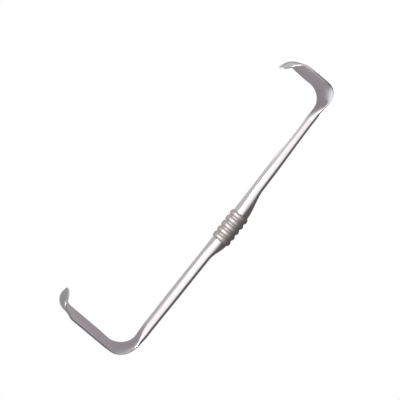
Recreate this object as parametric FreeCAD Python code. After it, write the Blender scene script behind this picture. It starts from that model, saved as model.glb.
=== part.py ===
import FreeCAD, Part
import math
import os
from FreeCAD import Vector

# Double-ended hand retractor, all sizes in millimetres.
# X runs along the handle, from the deep narrow blade to the short wide one.
# Y points from the handle towards the tips of both blades, and Z is up.
# The retractor lies on its side, at rest on its grip and on the lower edge of each bend,
# so that the blades' tips stand a little off the floor.

# Overall: from the back of one blade to the back of the other.
OVERALL_LENGTH = 240.0
# Each half of the handle leans this far towards the blades.
HANDLE_LEAN = 0.35

# Turned grip.
RING_COUNT = 5
RING_PITCH = 4.95
RING_RADIUS = 7.3
GROOVE_RADIUS = 6.4
GROOVE_WIDTH = 0.7

# Shanks and the bolsters that lead from them into the grip.
BOLSTER_RADIUS = 6.1
SHANK_FLAT = 0.4
ARM_OVERLAP = 1.5

# Strip that the blades are bent from.
STRIP_THICKNESS = 1.4
TIP_WIDTH = 6.0
# 2 would be an ellipse; a larger power gives a squarer tip.
TIP_POWER = 1.9
# The lips are hollow across; the hollow begins this far before the lip and is full this far into it.
CUP_BEFORE_LIP = 8.0
CUP_INTO_LIP = 2.0

# One dictionary per end, read only through the names in it.
DEEP_END = {
    "side": -1,
    "shank_diameter": 8.4,
    "neck_diameter": 8.0,
    "neck_start": 60.0,
    "bolster_length": 10.0,
    "shank_offset": 0.3,
    "bend_radius": 12.3,
    "bend_angle": 96.5,
    "flare_before_bend": 12.0,
    "flare_after_bend": 4.5,
    "thin_after_bend": -6.0,
    "blade_width": 23.4,
    "lip_width": 22.6,
    "blade_straight": 46.0,
    "lip_radius": 5.8,
    "lip_angle": 93.0,
    "lip_straight": 5.0,
    "lip_cup": 3.2,
    "tip_length": 10.2,
}
WIDE_END = {
    "side": 1,
    "shank_diameter": 8.6,
    "neck_diameter": 6.8,
    "neck_start": 45.0,
    "bolster_length": 16.0,
    "shank_offset": 0.2,
    "bend_radius": 11.8,
    "bend_angle": 90.5,
    "flare_before_bend": 12.5,
    "flare_after_bend": 3.5,
    "thin_after_bend": -14.0,
    "blade_width": 32.0,
    "lip_width": 29.4,
    "blade_straight": 23.2,
    "lip_radius": 5.3,
    "lip_angle": 76.0,
    "lip_straight": 5.0,
    "lip_cup": 3.0,
    "tip_length": 18.0,
}

# Spacing of the sections that the bars are drawn through.
BOLSTER_STEP = 2.0
SHANK_STEP = 12.0
BEND_STEP = 2.5
TIP_STEPS = 6
SEAM_GAP = 0.001
SETTLE_STEPS = 60

GRIP_HALF = (RING_COUNT * RING_PITCH - GROOVE_WIDTH) / 2.0
ARM_START = GRIP_HALF - ARM_OVERLAP


# Small helpers
def ease(x):
    """Goes smoothly from 0 to 1 as x does."""
    x = min(max(x, 0.0), 1.0)
    return x * x * (3.0 - 2.0 * x)


def blend(a, b, x):
    return a + (b - a) * ease(x)


# Centre line of one arm
class Line:
    """Centre line of one arm in the XY plane: shank, bend, blade, lip bend and lip."""

    def __init__(self, end):
        reach = OVERALL_LENGTH / 2.0 - STRIP_THICKNESS / 2.0
        turn = math.radians(end["bend_angle"])
        lean = math.radians(HANDLE_LEAN)
        # The shank is as long as leaves the blade's back at half the overall length.
        shank = (reach - end["bend_radius"] * bend_reach(lean, turn)) / math.cos(lean)
        self.parts = [
            ("line", shank, 0.0),
            ("arc", end["bend_radius"], turn),
            ("line", end["blade_straight"], 0.0),
            ("arc", end["lip_radius"], math.radians(end["lip_angle"])),
            ("line", end["lip_straight"], 0.0),
        ]
        self.lean = lean
        self.marks = [0.0]
        for kind, size, angle in self.parts:
            self.marks.append(self.marks[-1] + (size if kind == "line" else size * angle))

    def at(self, s):
        """Point and heading at distance s along the centre line."""
        x, y, heading = 0.0, 0.0, self.lean
        for i, (kind, size, angle) in enumerate(self.parts):
            step = min(s, self.marks[i + 1]) - self.marks[i]
            if i == len(self.parts) - 1:
                step = s - self.marks[i]
            if kind == "line":
                x += step * math.cos(heading)
                y += step * math.sin(heading)
            else:
                turn = step / size
                x += size * (math.sin(heading + turn) - math.sin(heading))
                y += size * (math.cos(heading) - math.cos(heading + turn))
                heading += turn
            if s <= self.marks[i + 1]:
                break
        return x, y, heading


def bend_reach(lean, turn):
    """How far a bend of radius 1 carries the centre line along X, at its farthest."""
    if lean + turn > math.pi / 2.0:
        return 1.0 - math.sin(lean)
    return math.sin(lean + turn) - math.sin(lean)


# Cross section: a bar with two broad sides and two half-round edges
def bar_section(line, s, width, thickness, shift, cup=0.0):
    """Closed wire across the centre line at s. The cup is the curvature across the bar."""
    x, y, heading = line.at(s)
    out = Vector(math.sin(heading), -math.cos(heading), 0)
    up = Vector(0, 0, 1)
    centre = Vector(x, y, 0) - out * shift
    half = (width - thickness) / 2.0
    r = thickness / 2.0

    def frame(v):
        """Middle of the bar, way along it and way out of it, at v from the centre line."""
        turn = v * cup
        along = up * math.cos(turn) - out * math.sin(turn)
        away = out * math.cos(turn) + up * math.sin(turn)
        if cup == 0.0:
            return centre + up * v, along, away
        return centre + (away - out) * (1.0 / cup), along, away

    def side(sign):
        """Broad side from its lower to its upper end, sign +1 for the outer one."""
        lower, upper = frame(-half), frame(half)
        a = lower[0] + lower[2] * (r * sign)
        b = upper[0] + upper[2] * (r * sign)
        if cup == 0.0:
            return Part.makeLine(a, b)
        return bow(a, b, lower[1], upper[1], 2.0 * half * cup)

    def edge(end):
        """Half-round edge from the inner to the outer side, end +1 for the upper one."""
        middle, along, away = frame(half * end)
        return bow(middle - away * r, middle + away * r, along * end, along * -end, math.pi)

    return [side(1), edge(1), side(-1), edge(-1)]


def bow(a, b, first, last, turn):
    """Cubic arc from a to b that leaves along first, arrives along last and turns by turn."""
    radius = (b - a).Length / 2.0 / math.sin(turn / 2.0)
    handle = 4.0 / 3.0 * math.tan(turn / 4.0) * radius
    curve = Part.BezierCurve()
    curve.setPoles([a, a + first * handle, b - last * handle, b])
    return curve.toShape()


def ruled_skin(line, stations, size_at):
    """Faces of a bar whose sections change from station to station."""
    sections = [bar_section(line, s, *size_at(s)) for s in stations]
    faces = []
    for here, ahead in zip(sections, sections[1:]):
        faces += [Part.makeRuledSurface(a, b) for a, b in zip(here, ahead)]
    return faces


def close_skin(skins, first, last):
    """Solid from skins that meet edge to edge, closed by a flat face at each end."""
    ends = [Part.Face(Part.Wire(first)), Part.Face(Part.Wire(last))]
    shell = Part.makeShell([face for skin in skins for face in skin] + ends)
    shell.sewShape(SEAM_GAP)
    solid = Part.makeSolid(shell.Shells[0])
    if solid.Volume < 0:
        solid.reverse()
    return solid


def spread(a, b, step):
    """Even stations from a to b, about a step apart."""
    n = max(1, round((b - a) / step))
    return [a + (b - a) * i / n for i in range(n + 1)]


# One arm: shank and bend, straight blade, lip
class Arm:
    """Sizes along one arm, as functions of the distance s from the grip's centre."""

    def __init__(self, end):
        self.end = end
        self.line = Line(end)
        bend_start, bend_end, self.lip_start, lip_end, self.tip = self.line.marks[1:6]
        self.flare_from = bend_start - end["flare_before_bend"]
        self.flare_to = bend_end + end["flare_after_bend"]
        self.thin_to = bend_end + end["thin_after_bend"]
        self.round_from = self.tip - end["tip_length"]
        # The strip is plain up to the lip's hollow or the tip's rounding, whichever is first.
        self.strip_end = min(self.lip_start - CUP_BEFORE_LIP, self.round_from)

    def shank_size(self, s):
        end = self.end
        neck_from = end["neck_start"]
        thick = blend(end["shank_diameter"], end["neck_diameter"],
                      (s - neck_from) / (self.flare_from - neck_from))
        thin = ease((s - self.flare_from) / (self.thin_to - self.flare_from))
        flare = ease((s - self.flare_from) / (self.flare_to - self.flare_from))
        # The bolster swells only on the side away from the blades.
        full_swell = BOLSTER_RADIUS - end["shank_diameter"] / 2.0 + end["shank_offset"]
        swell = full_swell * (1.0 - ease((s - GRIP_HALF) / end["bolster_length"]))
        width = thick + SHANK_FLAT + (end["blade_width"] - thick - SHANK_FLAT) * flare
        thickness = thick + (STRIP_THICKNESS - thick) * thin
        shift = end["shank_offset"] * (1.0 - flare)
        return width + swell, thickness + swell, shift - swell / 2.0

    def shank_stations(self):
        bolster_end = GRIP_HALF + self.end["bolster_length"]
        return (spread(ARM_START, bolster_end, BOLSTER_STEP)
                + spread(bolster_end, self.flare_from, SHANK_STEP)[1:])

    def lip_size(self, s):
        end = self.end
        q = min(max((s - self.round_from) / end["tip_length"], 0.0), 1.0)
        taper = (1.0 - q ** TIP_POWER) ** (1.0 / TIP_POWER)
        narrowed = (s - self.flare_to) / (self.lip_start - self.flare_to)
        plain = end["blade_width"] + (end["lip_width"] - end["blade_width"]) * min(narrowed, 1.0)
        width = TIP_WIDTH + (plain - TIP_WIDTH) * taper
        half = end["lip_width"] / 2.0
        cup = 2.0 * end["lip_cup"] / (half ** 2 + end["lip_cup"] ** 2)
        grown = ease((s - self.lip_start + CUP_BEFORE_LIP) / (CUP_BEFORE_LIP + CUP_INTO_LIP))
        return width, STRIP_THICKNESS, 0.0, cup * grown

    def lip_stations(self):
        stations = [self.strip_end]
        if self.round_from > self.strip_end:
            stations = spread(self.strip_end, self.round_from, BEND_STEP)
        quarter = math.pi / 2.0
        return stations + [self.round_from + self.end["tip_length"] * math.sin(quarter * i / TIP_STEPS)
                           for i in range(1, TIP_STEPS + 1)]

    def solid(self):
        line = self.line
        skins = [
            ruled_skin(line, self.shank_stations(), self.shank_size),
            ruled_skin(line, spread(self.flare_from, self.flare_to, BEND_STEP), self.shank_size),
            self.straight_skin(),
            ruled_skin(line, self.lip_stations(), self.lip_size),
        ]
        first = bar_section(line, ARM_START, *self.shank_size(ARM_START))
        last = bar_section(line, self.tip, *self.lip_size(self.tip))
        arm = close_skin(skins, first, last)
        if self.end["side"] < 0:
            arm = arm.mirror(Vector(0, 0, 0), Vector(1, 0, 0))
        return arm

    def straight_skin(self):
        """Skin of the narrowing strip between bend and lip, with true planes on both faces."""
        near = bar_section(self.line, self.flare_to, *self.lip_size(self.flare_to))
        far = bar_section(self.line, self.strip_end, *self.lip_size(self.strip_end))
        faces = [Part.makeRuledSurface(near[i], far[i]) for i in (1, 3)]
        for i in (0, 2):
            ends = [near[i].Vertexes[0], near[i].Vertexes[1], far[i].Vertexes[1], far[i].Vertexes[0]]
            points = [vertex.Point for vertex in ends]
            faces.append(Part.Face(Part.makePolygon(points + points[:1])))
        return faces

    def lower_edge(self):
        """Points along the arm's lower edge, round the bend."""
        points = []
        for s in spread(self.flare_from, self.flare_to, BEND_STEP):
            x, y, heading = self.line.at(s)
            points.append(Vector(x * self.end["side"], y, -self.shank_size(s)[0] / 2.0))
        return points


# Grip: rounded rings turned on one bar
def make_grip():
    """Rings side by side; the floor of each groove is a short cylinder between two rings."""
    profile = []
    point = Vector(-GRIP_HALF, 0, 0)
    for i in range(RING_COUNT):
        left = -GRIP_HALF + i * RING_PITCH
        right = left + RING_PITCH - GROOVE_WIDTH
        foot = Vector(left, GROOVE_RADIUS, 0)
        turn = 4.0 * math.atan(2.0 * (RING_RADIUS - GROOVE_RADIUS) / (right - left))
        rise = Vector(math.cos(turn / 2.0), math.sin(turn / 2.0), 0)
        fall = Vector(rise.x, -rise.y, 0)
        profile.append(Part.makeLine(point, foot))
        point = Vector(right, GROOVE_RADIUS, 0)
        profile.append(bow(foot, point, rise, fall, turn))
    profile.append(Part.makeLine(point, Vector(GRIP_HALF, 0, 0)))
    profile.append(Part.makeLine(Vector(GRIP_HALF, 0, 0), Vector(-GRIP_HALF, 0, 0)))
    return Part.Face(Part.Wire(profile)).revolve(Vector(0, 0, 0), Vector(1, 0, 0), 360)


# Whole retractor, laid on its side
def rest_angles(deep, wide):
    """Roll about X and pitch about Y, in radians, that bring grip and both bends to one floor."""
    deep_edge, wide_edge = deep.lower_edge(), wide.lower_edge()
    crest = RING_PITCH * (RING_COUNT - 1) / 2.0
    span = DEEP_END["bend_radius"] + RING_RADIUS
    roll, pitch = 0.0, 0.0
    for _ in range(SETTLE_STEPS):
        up = Vector(math.sin(pitch), math.sin(roll) * math.cos(pitch),
                    math.cos(roll) * math.cos(pitch))
        deep_low = min(up.dot(p) for p in deep_edge)
        wide_low = min(up.dot(p) for p in wide_edge)
        grip_low = -RING_RADIUS * math.cos(pitch) - crest * abs(math.sin(pitch))
        pitch += (deep_low - wide_low) / OVERALL_LENGTH
        roll += (grip_low - (deep_low + wide_low) / 2.0) / span
    return roll, pitch


def lay_down(shape, roll, pitch):
    """Turns the retractor into its rest and sets its box over the origin."""
    shape.rotate(Vector(0, 0, 0), Vector(1, 0, 0), math.degrees(roll))
    shape.rotate(Vector(0, 0, 0), Vector(0, 1, 0), -math.degrees(pitch))
    box = shape.optimalBoundingBox(False, False)
    shape.translate(Vector(-box.Center.x, -box.Center.y, -box.ZMin))
    return shape


def main():
    deep, wide = Arm(DEEP_END), Arm(WIDE_END)
    whole = make_grip().fuse(deep.solid()).fuse(wide.solid()).removeSplitter()
    roll, pitch = rest_angles(deep, wide)
    solid = lay_down(whole.Solids[0], roll, pitch)
    os.makedirs("parts", exist_ok=True)
    solid.exportStep("parts/retractor.step")
    print("solids", len(whole.Solids), "valid", solid.isValid(), "volume", round(solid.Volume, 1))
    print("roll", round(math.degrees(roll), 2), "pitch", round(math.degrees(pitch), 2))
    print("box", solid.optimalBoundingBox(False, False))
    print("centre of mass", solid.CenterOfMass)


main()
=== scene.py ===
# %% [markdown]
# # A double-ended hand retractor
# One piece of satin stainless steel: a ringed grip at the middle of a slim bar, and a blade bent
# from each end of the bar. This lesson draws it smoothly over the engineering part, finishes the
# steel, lights it and looks at it from almost straight above.
#
# Lengths are in millimetres while the shapes are drawn, and in metres in the scene. Angles are in
# degrees.

import math

import bmesh
import bpy
import numpy as np
from mathutils import Matrix, Vector


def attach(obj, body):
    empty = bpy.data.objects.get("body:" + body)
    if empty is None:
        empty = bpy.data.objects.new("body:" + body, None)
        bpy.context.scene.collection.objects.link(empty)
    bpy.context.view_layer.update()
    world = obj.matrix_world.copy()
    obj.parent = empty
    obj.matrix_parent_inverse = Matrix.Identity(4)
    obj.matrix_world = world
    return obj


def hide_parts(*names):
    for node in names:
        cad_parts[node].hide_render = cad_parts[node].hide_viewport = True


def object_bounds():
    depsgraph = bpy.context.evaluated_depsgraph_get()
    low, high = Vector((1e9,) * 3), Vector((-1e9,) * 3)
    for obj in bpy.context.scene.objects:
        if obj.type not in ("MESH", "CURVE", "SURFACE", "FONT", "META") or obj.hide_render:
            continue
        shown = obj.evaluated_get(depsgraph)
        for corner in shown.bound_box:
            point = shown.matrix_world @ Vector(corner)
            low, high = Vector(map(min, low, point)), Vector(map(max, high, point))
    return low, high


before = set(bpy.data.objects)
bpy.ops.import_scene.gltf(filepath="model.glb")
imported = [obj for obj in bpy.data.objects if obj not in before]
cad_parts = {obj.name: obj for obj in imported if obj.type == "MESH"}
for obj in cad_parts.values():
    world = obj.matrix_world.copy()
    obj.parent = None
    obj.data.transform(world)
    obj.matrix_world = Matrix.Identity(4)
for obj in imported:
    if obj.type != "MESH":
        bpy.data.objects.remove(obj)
part_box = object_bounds()
print("part box in metres:", [[round(c, 4) for c in corner] for corner in part_box])

# %% [markdown]
# The overall sizes come first. The handle is a bar whose two halves lean a little towards the
# blades. At the middle it swells into two bolsters, with the ringed grip between them. The blades
# are bent from strip of even thickness.

# %% Sizes shared by both ends
MM = 0.001
HANDLE_LEAN = 0.7
RING_COUNT = 5
RING_PITCH = 4.95
RING_RADIUS = 7.3
GROOVE_RADIUS = 6.4
GROOVE_WIDTH = 0.7
# The grip's axis lies this far to the handle's outer side, away from the blades.
GRIP_DROP = 1.2
BOLSTER_RADIUS = 6.1
# The bars begin this far inside the grip.
BAR_OVERLAP = 1.5
SHANK_FLAT = 0.4
# 2 would be a round bar; a larger power gives a squarer one.
SQUARENESS = 5.0
# The squared bar's flat side is turned this far about the bar, towards the blades.
FLAT_TURN = 26.0
# The squareness fades away over this much to either side of the bar's middle, as a cosine.
SQUARE_FADE = 0.5
STRIP_THICKNESS = 1.4
# The oval section of the bend has become flat strip this far beyond the place of full width.
FLAT_AFTER_FLARE = 4.0
TIP_WIDTH = 1.2
# 2 would be an ellipse; a larger power gives a squarer tip.
TIP_POWER = 2.1

# The engineering part comes to rest at these angles, on its grip and the lower edges of its bends.
REST_ROLL = 27.63
REST_PITCH = 0.75
# The drawn tips reach this far past the engineering part's.
TIPS_BEYOND = 1.5

GRIP_HALF = (RING_COUNT * RING_PITCH - GROOVE_WIDTH) / 2.0
BAR_START = GRIP_HALF - BAR_OVERLAP
print("grip from", -GRIP_HALF, "to", GRIP_HALF, "mm")

# %% [markdown]
# Each end has its own sizes. Places along the arm are measured from the grip's middle, or from the
# bend or the lip that the name says. Where a length after the bend is below zero, the place lies
# that far before the bend's end.

# %% Sizes of each end
DEEP_END = {
    "side": -1,
    "reach": 119.6,
    "shank_diameter": 8.4,
    "neck_diameter": 8.0,
    "neck_start": 60.0,
    "bolster_length": 15.0,
    "shank_offset": 0.4,
    "bend_radius": 14.4,
    "bend_angle": 96.5,
    "flare_before_bend": 14.0,
    "flare_after_bend": 4.0,
    "thin_after_bend": -7.0,
    "blade_width": 25.8,
    "lip_width": 26.2,
    "blade_straight": 44.4,
    "lip_radius": 5.8,
    "lip_angle": 93.0,
    "lip_straight": 5.0,
    "lip_hollow": 3.2,
    "hollow_before_lip": 8.0,
    "hollow_into_lip": 2.0,
    "tip_length": 10.2,
}
WIDE_END = {
    "side": 1,
    "reach": 120.3,
    "shank_diameter": 8.2,
    "neck_diameter": 6.9,
    "neck_start": 45.0,
    "bolster_length": 24.0,
    "shank_offset": 0.45,
    "bend_radius": 11.5,
    "bend_angle": 91.0,
    "flare_before_bend": 14.0,
    "flare_after_bend": 3.5,
    "thin_after_bend": -13.0,
    "blade_width": 36.0,
    "lip_width": 32.5,
    "blade_straight": 22.3,
    "lip_radius": 5.3,
    "lip_angle": 67.0,
    "lip_straight": 6.8,
    "lip_hollow": 3.0,
    "hollow_before_lip": 2.0,
    "hollow_into_lip": 5.0,
    "tip_length": 24.0,
}
for end in (DEEP_END, WIDE_END):
    print("blade", end["blade_width"], "mm wide,", end["reach"], "mm from the middle")

# %% [markdown]
# Each arm follows one line: shank, bend, blade, lip bend, lip. The line lies in one plane, and a
# point on it is found by walking its five pieces.

# %% The line that an arm follows
class ArmLine:
    """Shank, bend, blade, lip bend and lip, with the distance to each joint between them."""

    def __init__(self, end):
        self.lean = math.radians(HANDLE_LEAN)
        turn = math.radians(end["bend_angle"])
        # The bend carries the line farthest along the handle where the line stands straight across.
        farthest = min(self.lean + turn, math.pi / 2.0)
        carried = math.sin(farthest) - math.sin(self.lean)
        reach = end["reach"] - STRIP_THICKNESS / 2.0
        shank = (reach - end["bend_radius"] * carried) / math.cos(self.lean)
        self.pieces = [
            ("line", shank, 0.0),
            ("arc", end["bend_radius"], turn),
            ("line", end["blade_straight"], 0.0),
            ("arc", end["lip_radius"], math.radians(end["lip_angle"])),
            ("line", end["lip_straight"], 0.0),
        ]
        self.marks = [0.0]
        for kind, size, angle in self.pieces:
            self.marks.append(self.marks[-1] + (size if kind == "line" else size * angle))

    def at(self, s):
        """Point and heading at distance s."""
        x, y, heading = 0.0, 0.0, self.lean
        for (kind, size, angle), start, stop in zip(self.pieces, self.marks, self.marks[1:]):
            last = stop == self.marks[-1]
            step = (s if last else min(s, stop)) - start
            if kind == "line":
                x += step * math.cos(heading)
                y += step * math.sin(heading)
            else:
                turned = heading + step / size
                x += size * (math.sin(turned) - math.sin(heading))
                y += size * (math.cos(heading) - math.cos(turned))
                heading = turned
            if s <= stop:
                break
        return x, y, heading


for end in (DEEP_END, WIDE_END):
    print("arm joints at", [round(mark, 1) for mark in ArmLine(end).marks], "mm")

# %% [markdown]
# Across the line stands the section. It has two broad sides and two edges, and it changes all the
# way: a round bar at the grip, a bar squared on its outer half, an oval through the bend, a flat
# strip at the blade, and a strip that is hollow across at the lip, so that the lip holds what it
# hooks.

# %% The section that travels along the line
EDGE_STEPS = 12
SIDE_STEPS = 24
NO_HOLLOW = 1e-9


def section(line, s, width, thickness, shift, hollow, squared, oval):
    """Ring of points across the line at s."""
    x, y, heading = line.at(s)
    out = np.array([math.sin(heading), -math.cos(heading), 0.0])
    up = np.array([0.0, 0.0, 1.0])
    centre = np.array([x, y, 0.0]) - out * shift
    half = (width - thickness) / 2.0
    r = thickness / 2.0

    def spot(v):
        """Middle of the strip at v across it, with the directions along and away from it there."""
        turn = v * hollow
        along = up * math.cos(turn) - out * math.sin(turn)
        away = out * math.cos(turn) + up * math.sin(turn)
        middle = centre + ((away - out) / hollow if hollow > NO_HOLLOW else up * v)
        return middle, along, away

    def height(v, flat_height):
        """Distance from the middle at v, between that of a flat side and that of an oval."""
        oval_height = r * math.sqrt(max(0.0, 1.0 - (v / (half + r)) ** 2))
        return flat_height + oval * (math.copysign(oval_height, flat_height) - flat_height)

    ring = []
    for sign in (1, -1):
        for i in range(SIDE_STEPS):
            v = sign * half * (2.0 * i / SIDE_STEPS - 1.0)
            middle, along, away = spot(v)
            ring.append(middle + away * height(v, r * sign))
        middle, along, away = spot(half * sign)
        for i in range(EDGE_STEPS):
            a = math.pi * i / EDGE_STEPS
            v = (half + r * math.sin(a)) * sign
            from_side = away * height(v, r * math.cos(a) * sign)
            ring.append(middle + from_side + along * (v - half * sign))
    return [square_up(point, centre, up, out, squared) for point in ring]


def square_up(point, centre, up, out, squared):
    """Moves a point on the outer half of a round bar outwards, towards a squarer bar."""
    turn = math.radians(FLAT_TURN)
    flat = up * math.cos(turn) - out * math.sin(turn)
    flank = up * math.sin(turn) + out * math.cos(turn)
    ray = (point - centre) / np.linalg.norm(point - centre)
    swell = (abs(ray @ flat) ** SQUARENESS + abs(ray @ flank) ** SQUARENESS) ** (-1.0 / SQUARENESS)
    outer_half = ease(ray @ flank, -SQUARE_FADE, SQUARE_FADE)
    return centre + (point - centre) * (1.0 + squared * outer_half * (swell - 1.0))


def share(x, start, stop):
    """Goes evenly from 0 to 1 as x goes from start to stop."""
    return min(max((x - start) / (stop - start), 0.0), 1.0)


def ease(x, start, stop):
    """Goes smoothly from 0 to 1 as x goes from start to stop."""
    x = share(x, start, stop)
    return x * x * (3.0 - 2.0 * x)


print(2 * (SIDE_STEPS + EDGE_STEPS), "points in a section")

# %% [markdown]
# The sizes of the section are worked out from the distance along the arm. Sections stand closer
# together where the bar bends and where the tip is rounded.

# %% Section sizes along an arm
BAR_STEP = 2.0
BEND_STEP = 0.6
LIP_STEP = 0.5
TIP_STEPS = 40
LEAST_STEP = 1e-6


class Arm:
    """Sizes of the section at every distance along one arm."""

    def __init__(self, end):
        self.end = end
        self.line = ArmLine(end)
        bend_start, bend_end, self.lip_start, _, self.tip = self.line.marks[1:]
        self.flare_from = bend_start - end["flare_before_bend"]
        self.flare_to = bend_end + end["flare_after_bend"]
        self.thin_to = bend_end + end["thin_after_bend"]
        self.hollow_from = self.lip_start - end["hollow_before_lip"]
        self.hollow_to = self.lip_start + end["hollow_into_lip"]
        self.round_from = self.tip - end["tip_length"]

    def size(self, s):
        """Width, thickness, shift, hollow, squareness and ovalness of the section at s."""
        end = self.end
        bolster = 1.0 - ease(s, GRIP_HALF, GRIP_HALF + end["bolster_length"])
        full_swell = BOLSTER_RADIUS - end["shank_diameter"] / 2.0 + end["shank_offset"] + GRIP_DROP
        swell = full_swell * bolster
        thin = ease(s, self.flare_from, self.thin_to)
        flare = ease(s, self.flare_from, self.flare_to)
        diameter = self.bar_diameter(s)
        width = diameter + SHANK_FLAT
        width += (end["blade_width"] - width) * flare + swell
        width += (end["lip_width"] - end["blade_width"]) * share(s, self.flare_to, self.lip_start)
        width = TIP_WIDTH + (width - TIP_WIDTH) * self.taper(s)
        thickness = min(diameter + (STRIP_THICKNESS - diameter) * thin + swell, width)
        shift = end["shank_offset"] * (1.0 - flare) - swell / 2.0
        # The bar is no longer squared where half of its thinning is done.
        squared = (1.0 - bolster) * ease(1.0 - 2.0 * thin, 0.0, 1.0)
        oval = 1.0 - ease(s, self.thin_to, self.flare_to + FLAT_AFTER_FLARE)
        return width, thickness, shift, self.hollow(s), squared, oval

    def bar_diameter(self, s):
        """The bar thins a little from the shank to the neck before the bend."""
        shank, neck = self.end["shank_diameter"], self.end["neck_diameter"]
        return shank + (neck - shank) * ease(s, self.end["neck_start"], self.flare_from)

    def hollow(self, s):
        """How sharply the section curves across: 1 divided by the radius of the curve."""
        half = self.end["lip_width"] / 2.0
        depth = self.end["lip_hollow"]
        return 2.0 * depth / (half ** 2 + depth ** 2) * ease(s, self.hollow_from, self.hollow_to)

    def taper(self, s):
        """Share of the width that the rounded tip leaves at s."""
        return (1.0 - share(s, self.round_from, self.tip) ** TIP_POWER) ** (1.0 / TIP_POWER)

    def stations(self):
        """Distances at which a section is drawn."""
        runs = [
            (BAR_START, self.flare_from, BAR_STEP),
            (self.flare_from, self.flare_to, BEND_STEP),
            (self.flare_to, min(self.hollow_from, self.round_from), BAR_STEP),
            (self.hollow_from, self.round_from, LIP_STEP),
        ]
        places = [BAR_START]
        for start, stop, step in runs:
            if stop > start:
                count = max(1, round((stop - start) / step))
                places += [start + (stop - start) * i / count for i in range(1, count + 1)]
        for i in range(1, TIP_STEPS + 1):
            part_way = math.sin(math.pi / 2.0 * i / TIP_STEPS)
            places.append(self.round_from + self.end["tip_length"] * part_way)
        return [s for i, s in enumerate(places) if i == 0 or s > places[i - 1] + LEAST_STEP]


for end in (DEEP_END, WIDE_END):
    arm = Arm(end)
    width, thickness, *_ = arm.size(arm.flare_to)
    print("after the bend the strip is", round(width, 1), "by", round(thickness, 1), "mm")

# %% [markdown]
# A skin of four-sided faces is laid over the rings of points and closed at both ends. The deep
# arm is the mirror image of an arm drawn the other way round.

# %% Drawing the bars
def solid_of_rings(name, rings):
    """Object whose skin joins each ring of points to the next."""
    count = len(rings[0])
    points = [tuple(p) for ring in rings for p in ring]
    faces = []
    for i in range(len(rings) - 1):
        for j in range(count):
            k = (j + 1) % count
            faces.append((i * count + j, i * count + k, (i + 1) * count + k, (i + 1) * count + j))
    faces.append(tuple(reversed(range(count))))
    faces.append(tuple(range(len(points) - count, len(points))))
    mesh = bpy.data.meshes.new(name)
    mesh.from_pydata(points, [], faces)
    tidy = bmesh.new()
    tidy.from_mesh(mesh)
    bmesh.ops.recalc_face_normals(tidy, faces=tidy.faces)
    tidy.to_mesh(mesh)
    tidy.free()
    for face in mesh.polygons:
        face.use_smooth = len(face.vertices) == 4
    obj = bpy.data.objects.new(name, mesh)
    bpy.context.scene.collection.objects.link(obj)
    return obj


def bar(name, end):
    """One arm, from inside the grip to the tip of the lip."""
    arm = Arm(end)
    to_its_side = np.array([end["side"], 1.0, 1.0])
    rings = [np.array(section(arm.line, s, *arm.size(s))) * to_its_side for s in arm.stations()]
    obj = solid_of_rings(name, rings)
    print(name, "has", len(rings), "rings and", len(obj.data.polygons), "faces")
    return obj


deep_bar = bar("deep_bar", DEEP_END)
wide_bar = bar("wide_bar", WIDE_END)

# %% [markdown]
# The grip is turned: a profile of five round ribs is carried round the grip's axis.

# %% Turning the grip
TURN_STEPS = 96
RIB_STEPS = 14


def rib_profile():
    """Distance along the handle and radius, from one end of the grip to the other."""
    half = (RING_PITCH - GROOVE_WIDTH) / 2.0
    rise = RING_RADIUS - GROOVE_RADIUS
    bow = (half ** 2 + rise ** 2) / (2.0 * rise)
    points = []
    for i in range(RING_COUNT):
        middle = -GRIP_HALF + half + i * RING_PITCH
        for j in range(RIB_STEPS + 1):
            x = half * (2.0 * j / RIB_STEPS - 1.0)
            points.append((middle + x, RING_RADIUS - bow + math.sqrt(bow ** 2 - x ** 2)))
    return points


def turned(name, profile):
    """Object made by carrying the profile once round the grip's axis."""
    angles = [2.0 * math.pi * i / TURN_STEPS for i in range(TURN_STEPS)]
    rings = []
    for x, radius in profile:
        rings.append([(x, radius * math.cos(a) - GRIP_DROP, radius * math.sin(a)) for a in angles])
    return solid_of_rings(name, rings)


grip = turned("ringed_grip", rib_profile())
print("grip has", len(grip.data.polygons), "faces")

# %% [markdown]
# The three drawings are one piece of steel. They are laid down at the angles of the part's rest,
# with their lowest point on the floor, and lined up with the part along the handle and at the
# blades' tips. They take the place of the plainer engineering shape.

# %% Laying the retractor down
def laid_down():
    """The turn from the drawing into the rest."""
    roll = Matrix.Rotation(math.radians(REST_ROLL), 4, "X")
    pitch = Matrix.Rotation(-math.radians(REST_PITCH), 4, "Y")
    return pitch @ roll


pieces = [deep_bar, wide_bar, grip]
rest = laid_down()
corners = np.array([rest @ v.co for piece in pieces for v in piece.data.vertices])
low, high = corners.min(axis=0), corners.max(axis=0)
part_tips = part_box[1][1] / MM
origin = Vector(((low[0] + high[0]) / 2.0, high[1] - TIPS_BEYOND - part_tips, low[2]))
into_place = Matrix.Scale(MM, 4) @ Matrix.Translation(-origin) @ rest
for piece in pieces:
    piece.data.transform(into_place)
    piece.data.update()
    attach(piece, "root")
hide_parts("retractor")
grip_place = into_place @ Vector((0.0, -GRIP_DROP, 0.0))
print("grip centre in metres:", [round(c, 5) for c in grip_place])

# %% [markdown]
# Shader sums are easier to read as sums. A small wrapper lets plain operators place the maths
# nodes, and one method places any other node.

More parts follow.
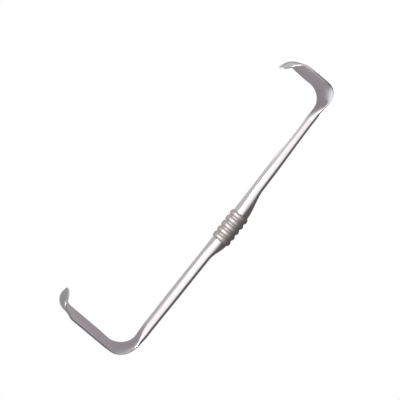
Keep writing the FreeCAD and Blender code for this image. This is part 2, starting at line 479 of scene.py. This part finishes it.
# %% A wrapper for shader sums
class Sockets:
    """Places nodes in one material's or world's tree."""

    def __init__(self, tree):
        self.tree = tree
        tree.nodes.clear()

    def node(self, kind, out=0, **inputs):
        """Places a node, with values or sockets for the inputs that are named."""
        made = self.tree.nodes.new(kind)
        for key, value in inputs.items():
            self.feed(made.inputs[key.replace("_", " ")], value)
        return Socket(self, made.outputs[out]) if made.outputs else None

    def feed(self, target, value):
        if isinstance(value, Socket):
            self.tree.links.new(value.out, target)
        else:
            target.default_value = value

    def feed_in_order(self, made, values):
        """Feeds a node's inputs from the first on."""
        for target, value in zip(made.inputs, values):
            self.feed(target, value)
        return Socket(self, made.outputs[0])

    def maths(self, operation, *values):
        made = self.tree.nodes.new("ShaderNodeMath")
        made.operation = operation
        return self.feed_in_order(made, values)

    def mix(self, part, first, second):
        """The first shader where part is 0, and the second where it is 1."""
        return self.feed_in_order(self.tree.nodes.new("ShaderNodeMixShader"), (part, first, second))

    def along_and_across(self, vector):
        """A vector's numbers along the handle and across it."""
        made = self.tree.nodes.new("ShaderNodeSeparateXYZ")
        self.feed(made.inputs[0], vector)
        return Socket(self, made.outputs[0]), Socket(self, made.outputs[1])


class Socket:
    """One output, with plain operators for maths on it."""

    def __init__(self, sockets, out):
        self.sockets = sockets
        self.out = out

    def __add__(self, other):
        return self.sockets.maths("ADD", self, other)

    def __mul__(self, other):
        return self.sockets.maths("MULTIPLY", self, other)

    def __sub__(self, other):
        return self.sockets.maths("SUBTRACT", self, other)

    def __rsub__(self, other):
        return self.sockets.maths("SUBTRACT", other, self)

    __radd__ = __add__

    def smooth(self, start, stop):
        """0 below start, 1 above stop, and smooth between."""
        made = self.sockets.tree.nodes.new("ShaderNodeMapRange")
        made.interpolation_type = "SMOOTHSTEP"
        self.sockets.feed(made.inputs["Value"], self)
        made.inputs["From Min"].default_value = start
        made.inputs["From Max"].default_value = stop
        return Socket(self.sockets, made.outputs[0])


print("operators ready: + - * on shader sockets")

# %% [markdown]
# The steel is satin all over, with fine random grain and a roughness that varies a little from
# place to place. The grip is blasted with fine grit, so it is rougher, darker and a little warmer.

# %% Two finishes of one steel
SATIN_TONE = (0.66, 0.645, 0.655, 1.0)
BLASTED_TONE = (0.51, 0.472, 0.462, 1.0)
PATCH_SCALE = 90.0
ROUGHNESS_SPREAD = 0.08
GRAIN_DEPTH = 0.0001


def steel(name, tone, roughness, grain, grain_scale):
    material = bpy.data.materials.new(name)
    material.use_nodes = True
    s = Sockets(material.node_tree)
    place = s.node("ShaderNodeTexCoord", out="Object")
    fine = s.node("ShaderNodeTexNoise", out="Fac", Vector=place, Scale=grain_scale, Detail=4.0)
    patches = s.node("ShaderNodeTexNoise", out="Fac", Vector=place, Scale=PATCH_SCALE, Detail=2.0)
    bump = s.node("ShaderNodeBump", Strength=grain, Distance=GRAIN_DEPTH, Height=fine)
    varied = roughness + (patches - 0.5) * ROUGHNESS_SPREAD
    look = {"Metallic": 1.0, "Base_Color": tone, "Roughness": varied, "Normal": bump}
    s.node("ShaderNodeOutputMaterial", Surface=s.node("ShaderNodeBsdfPrincipled", **look))
    return material


satin = steel("satin_steel", SATIN_TONE, roughness=0.22, grain=0.02, grain_scale=2500.0)
blasted = steel("blasted_steel", BLASTED_TONE, roughness=0.50, grain=0.10, grain_scale=2200.0)
for piece, finish in ((deep_bar, satin), (wide_bar, satin), (grip, blasted)):
    piece.data.materials.clear()
    piece.data.materials.append(finish)
print("finishes:", satin.name, "and", blasted.name)

# %% [markdown]
# The camera sees a white floor under a white sky. The steel sees something else, as it does in a
# studio. The polished faces of both blades mirror the floor beside them, so that floor is a plum
# grey to them. It is lighter under the wide blade's bend and beyond the tips, and nearly black
# behind the handle, where the dark line along the bar comes from.

# %% Floor
FLOOR_HALF = 3.0
WHITE = (1.0, 1.0, 1.0, 1.0)
# How bright the floor is to the steel: behind the handle, and what other places add to it or take.
BEHIND_HANDLE = 0.14
IN_BAY = 0.50
LESS_AT_DEEP_BLADE = 0.24
LESS_AT_WIDE_BLADE = 0.29
MORE_UNDER_WIDE_BEND = 0.70
MORE_BEYOND_TIPS = 0.36
# The share that is missing outside the wide blade, and those of green and blue in the plum grey.
LESS_OUTSIDE = 0.25
LESS_GREEN = 0.10
LESS_BLUE = 0.03


def square_floor():
    half = FLOOR_HALF
    corners = [(-half, -half, 0.0), (half, -half, 0.0), (half, half, 0.0), (-half, half, 0.0)]
    mesh = bpy.data.meshes.new("floor")
    mesh.from_pydata(corners, [], [(0, 1, 2, 3)])
    obj = bpy.data.objects.new("floor", mesh)
    bpy.context.scene.collection.objects.link(obj)
    return obj


def white_paper():
    """White to the camera. To the steel, each change starts and stops at two places in metres."""
    material = bpy.data.materials.new("white_paper")
    material.use_nodes = True
    s = Sockets(material.node_tree)
    along, across = s.along_and_across(s.node("ShaderNodeTexCoord", out="Object"))
    near_wide_blade = along.smooth(0.095, 0.108) * across.smooth(-0.040, -0.026)
    near_deep_blade = (along * -1.0).smooth(0.094, 0.108)
    beyond_tips = across.smooth(0.012, 0.035)
    towards_wide_end = along.smooth(-0.10, 0.12)
    under_wide_bend = along.smooth(0.050, 0.085) * (1.0 - near_wide_blade)
    outside = along.smooth(0.119, 0.130) * (1.0 - across.smooth(0.022, 0.034))
    before_handle = across.smooth(-0.040, -0.030)
    lit = IN_BAY - near_deep_blade * LESS_AT_DEEP_BLADE - near_wide_blade * LESS_AT_WIDE_BLADE
    lit = lit + under_wide_bend * MORE_UNDER_WIDE_BEND
    lit = lit + beyond_tips * towards_wide_end * (1.0 - outside) * MORE_BEYOND_TIPS
    level = BEHIND_HANDLE + before_handle * lit * (1.0 - outside * LESS_OUTSIDE)
    plum = (near_wide_blade + near_deep_blade) * (1.0 - beyond_tips)
    green = 1.0 - plum * LESS_GREEN
    blue = 1.0 - plum * LESS_BLUE
    tint = s.node("ShaderNodeCombineColor", Red=1.0, Green=green, Blue=blue)
    seen = s.node("ShaderNodeLightPath", out="Is Camera Ray")
    mirrored = s.node("ShaderNodeEmission", Color=tint, Strength=level)
    white = s.node("ShaderNodeEmission", Color=WHITE, Strength=1.0)
    s.node("ShaderNodeOutputMaterial", Surface=s.mix(seen, mirrored, white))
    return material


floor = square_floor()
floor.data.materials.append(white_paper())
print("floor", 2.0 * FLOOR_HALF, "m square, with strength", BEHIND_HANDLE, "behind the handle")

# %% [markdown]
# The sky that the steel mirrors is a broad soft light overhead, a little towards the blades' side.
# It fades to grey on that side and towards both ends, and to near black behind the handle, where
# the dark line along the bar and the dark flanks of the two bolsters come from.

# %% Sky
# The sky is at most this much brighter than behind the handle, and a little less to the wide end.
OVERHEAD = 1.35
LESS_TO_WIDE_END = 0.12
# The shares that are missing towards both ends, and low down on the blades' side.
LESS_AT_ENDS = 0.75
LESS_AT_BLADES_SIDE = 0.60
SKY_TONE = (1.0, 0.985, 0.98, 1.0)


def studio_sky():
    """White to the camera. To the steel, each change starts and stops at two directions."""
    world = bpy.data.worlds.new("surround")
    world.use_nodes = True
    s = Sockets(world.node_tree)
    along, across = s.along_and_across(s.node("ShaderNodeTexCoord", out="Generated"))
    before_handle = across.smooth(-0.80, -0.05)
    less_at_side = 1.0 - across.smooth(0.27, 1.03) * LESS_AT_BLADES_SIDE
    less_at_ends = 1.0 - (along * along).smooth(0.0, 0.6) * LESS_AT_ENDS
    overhead = OVERHEAD - along.smooth(-0.10, 0.15) * LESS_TO_WIDE_END
    level = BEHIND_HANDLE + before_handle * less_at_side * less_at_ends * overhead
    seen = s.node("ShaderNodeLightPath", out="Is Camera Ray")
    mirrored = s.node("ShaderNodeBackground", Strength=level, Color=SKY_TONE)
    white = s.node("ShaderNodeBackground", Strength=1.0, Color=WHITE)
    s.node("ShaderNodeOutputWorld", Surface=s.mix(seen, mirrored, white))
    return world


bpy.context.scene.world = studio_sky()
print("sky strength from", BEHIND_HANDLE, "behind the handle to", round(BEHIND_HANDLE + OVERHEAD, 2))

# %% [markdown]
# One lamp above the grip, a little towards the blades' side, puts the highlight on each rib. It is
# narrow along the handle, so that the bars mirror it only beside the grip.

# %% Lamp
LAMP_PLACE = (0.0, 0.140, 0.31)
LAMP_WIDTH = 0.05
LAMP_LENGTH = 0.16
LAMP_POWER = 0.7
lamp_data = bpy.data.lights.new("grip_lamp", "AREA")
lamp_data.shape = "ELLIPSE"
lamp_data.size = LAMP_WIDTH
lamp_data.size_y = LAMP_LENGTH
lamp_data.energy = LAMP_POWER
lamp = bpy.data.objects.new("grip_lamp", lamp_data)
lamp.location = LAMP_PLACE
lamp.rotation_euler = (grip_place - Vector(LAMP_PLACE)).to_track_quat("-Z", "Y").to_euler()
bpy.context.scene.collection.objects.link(lamp)
print("lamp of", LAMP_POWER, "W at", LAMP_PLACE)

# %% [markdown]
# The camera stands almost straight above, about half a metre away, and is turned so that the
# handle rises from lower left to upper right.

# %% Camera
CAMERA_PLACE = (0.0039, -0.06165, 0.48505)
CAMERA_FORWARD = (-0.00412, 0.13082, -0.9914)
CAMERA_UP = (0.78713, 0.61173, 0.07745)
# The lens and the sensor are in millimetres.
LENS = 59.62
SENSOR = 36.0
NEAREST = 0.01
FARTHEST = 20.0
camera_data = bpy.data.cameras.new("camera")
camera_data.lens = LENS
camera_data.sensor_width = SENSOR
camera_data.clip_start = NEAREST
camera_data.clip_end = FARTHEST
camera = bpy.data.objects.new("camera", camera_data)
back = -Vector(CAMERA_FORWARD).normalized()
right = Vector(CAMERA_UP).cross(back).normalized()
facing = Matrix((right, back.cross(right), back)).transposed().to_4x4()
camera.matrix_world = Matrix.Translation(CAMERA_PLACE) @ facing
bpy.context.scene.collection.objects.link(camera)
bpy.context.scene.camera = camera
bpy.context.scene.view_settings.view_transform = "Standard"
print("camera", [round(c, 3) for c in camera.matrix_world.translation], "lens", LENS)
